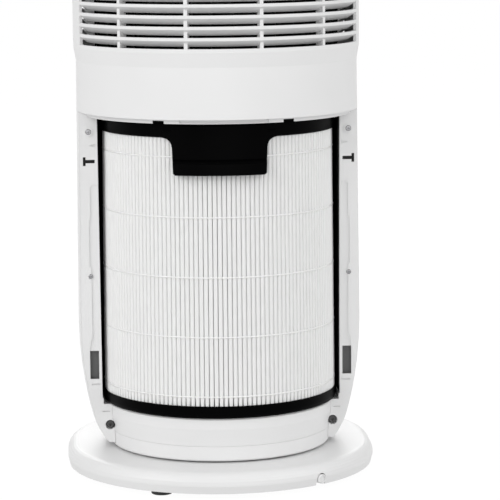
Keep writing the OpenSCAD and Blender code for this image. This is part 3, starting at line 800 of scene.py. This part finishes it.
def make_gland():
    """The cord's bush in the rim: a flange inside, a rounded nose with a blind mouth outside."""
    points = [v.co for v in NODES["cable_gland"].data.vertices]
    middle = sum(points, Vector()) / len(points)
    out = Vector((middle.x, middle.y - AXIS_Y, 0)).normalized()
    along = [(p - middle).dot(out) for p in points]
    across = [((p - middle) - out * (p - middle).dot(out)).length for p in points]
    length = (max(along) - min(along)) / MM
    flange_r = max(across) / MM
    nose_r = max(far for far, reach in zip(across, along) if reach > max(along) - 1 * MM) / MM
    wall = 1.1
    rounding = 0.9
    bevel = 0.3
    flange_h = 1.8
    mouth_r = nose_r - wall
    floor_z = length - rounding
    profile = [(0, 0), (flange_r, 0), (flange_r, flange_h), (nose_r, flange_h + 0.2)]
    profile += arc(nose_r - rounding, length - rounding, rounding, 0, 90)
    profile += [(mouth_r + bevel, length), (mouth_r, length - bevel), (mouth_r - 0.1, floor_z), (0, floor_z)]
    obj = lathe("cable_gland_nose", profile, "shell", 48)
    crease(obj, 30)
    turn = out.to_track_quat("Z", "Y").to_matrix().to_4x4()
    start = middle + out * min(along)
    settle(obj, Matrix.Translation(start) @ turn, "base", "white_shell", "cable_gland")


make_gland()

# A push button, in mm: its flange, the rounding of its cap, and the cap's dish as
# (share of the cap's radius, depth)
BUTTON_FLANGE_WIDTH = 2
BUTTON_FLANGE_HEIGHT = 1.5
BUTTON_ROUNDING = 0.8
BUTTON_DISH = [(0.7, 0.22), (0.35, 0.5), (0, 0.55)]


def make_button(name):
    """A push button: flange below the panel, dished cap with a soft rim above it."""
    low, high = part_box(name)
    middle = centre(name)
    flange_r = (high.x - low.x) / 2 / MM
    cap_r = flange_r - BUTTON_FLANGE_WIDTH
    height = (high.z - low.z) / MM
    profile = [(0, 0), (flange_r, 0), (flange_r, BUTTON_FLANGE_HEIGHT), (cap_r, BUTTON_FLANGE_HEIGHT)]
    profile += arc(cap_r - BUTTON_ROUNDING, height - BUTTON_ROUNDING, BUTTON_ROUNDING, 0, 90)
    profile += [(cap_r * share, height - depth) for share, depth in BUTTON_DISH]
    obj = lathe(name + "_cap", profile, "button_white")
    crease(obj, 50)
    settle(obj, Matrix.Translation((middle.x, middle.y, low.z)), name, "white_button", name)


for button in ("power_button", "speed_button", "swing_button", "timer_button"):
    make_button(button)

# ---- floor and light ----

FLOOR_SIZE = 60
FLOOR_GLOW = 0.97


def plain_floor():
    """A white floor that glows evenly, so no shadow edge or horizon shows behind the tower."""
    bpy.ops.mesh.primitive_plane_add(size=FLOOR_SIZE, location=(0, 0, 0))
    floor = bpy.context.object
    floor.name = "floor"
    s = Shader("floor_white", (0.05, 0.05, 0.05), 0.9)
    s.set("Specular IOR Level", 0.0)
    s.set("Emission Color", (1, 1, 1, 1))
    s.set("Emission Strength", FLOOR_GLOW)
    floor.data.materials.append(s.material)
    floor.visible_diffuse = False


plain_floor()

# Name, azimuth and elevation in degrees, and power in watts. The azimuth runs from the service
# side, positive to the right.
SOFTBOXES = [
    ("key_softbox", -52, 24, 38),
    ("fill_softbox", 62, 24, 25),
    ("front_softbox", 5, 10, 13),
    ("back_softbox", 180, 30, 40),
]
SOFTBOX_SIZE = 2.0
SOFTBOX_DISTANCE = 3.0
SOFTBOX_AIM_HEIGHT = 0.3


def softbox(name, azimuth, elevation, power):
    """A square light, aimed at the middle of the tower."""
    turn, rise = math.radians(azimuth), math.radians(elevation)
    aim = Vector((0, AXIS_Y, SOFTBOX_AIM_HEIGHT))
    place = (SOFTBOX_DISTANCE * math.cos(rise) * math.sin(turn),
             -SOFTBOX_DISTANCE * math.cos(rise) * math.cos(turn),
             SOFTBOX_AIM_HEIGHT + SOFTBOX_DISTANCE * math.sin(rise))
    data = bpy.data.lights.new(name, "AREA")
    data.size = SOFTBOX_SIZE
    data.energy = power
    light = bpy.data.objects.new(name, data)
    light.location = place
    light.rotation_euler = (aim - Vector(place)).to_track_quat("-Z", "Y").to_euler()
    bpy.context.scene.collection.objects.link(light)


for values in SOFTBOXES:
    softbox(*values)

# The world's strength a little below and a little above the horizon
WORLD_BAND = 0.35
WORLD_LOW = 0.60
WORLD_HIGH = 0.61


def studio_world():
    """Even white light, a trace brighter from above than from below."""
    world = bpy.data.worlds.new("studio")
    bpy.context.scene.world = world
    world.use_nodes = True
    tree = world.node_tree
    direction = tree.nodes.new("ShaderNodeTexCoord").outputs["Generated"]
    split = tree.nodes.new("ShaderNodeSeparateXYZ")
    spread = tree.nodes.new("ShaderNodeMapRange")
    spread.inputs["From Min"].default_value = -WORLD_BAND
    spread.inputs["From Max"].default_value = WORLD_BAND
    spread.inputs["To Min"].default_value = WORLD_LOW
    spread.inputs["To Max"].default_value = WORLD_HIGH
    tree.links.new(direction, split.inputs["Vector"])
    tree.links.new(split.outputs["Z"], spread.inputs["Value"])
    tree.links.new(spread.outputs["Result"], tree.nodes["Background"].inputs["Strength"])
    tree.nodes["Background"].inputs["Color"].default_value = (1, 1, 1, 1)


studio_world()
bpy.context.scene.view_settings.view_transform = "Standard"
